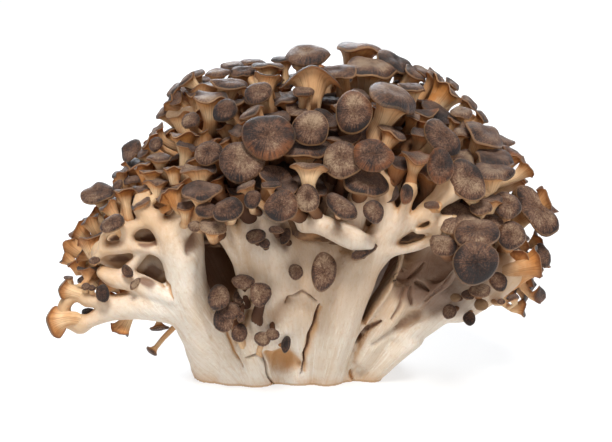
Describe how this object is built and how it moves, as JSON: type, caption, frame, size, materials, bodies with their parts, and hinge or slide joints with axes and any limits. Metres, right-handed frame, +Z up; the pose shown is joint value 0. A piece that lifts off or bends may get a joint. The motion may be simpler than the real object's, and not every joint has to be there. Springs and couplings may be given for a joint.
{
  "type": "maitake mushroom",
  "caption": "Whole maitake (hen of the woods) mushroom: stems fused into one butt, forking branches and a crown of small brown caps, standing on its flat cut base.",
  "frame": {"origin": "middle of the cut across the butt, on the surface the mushroom stands on", "axes": "+Z up the stems, square to the cut; +X to the right of the side that shows the stems, along the widest extent of the crown; +Y to the back"},
  "size_m": [0.1784, 0.1344, 0.1212],
  "materials": {
    "flesh": "matte"
  },
  "bodies": {
    "root": {"fruiting_body": "flesh"}
  },
  "joints": []
}
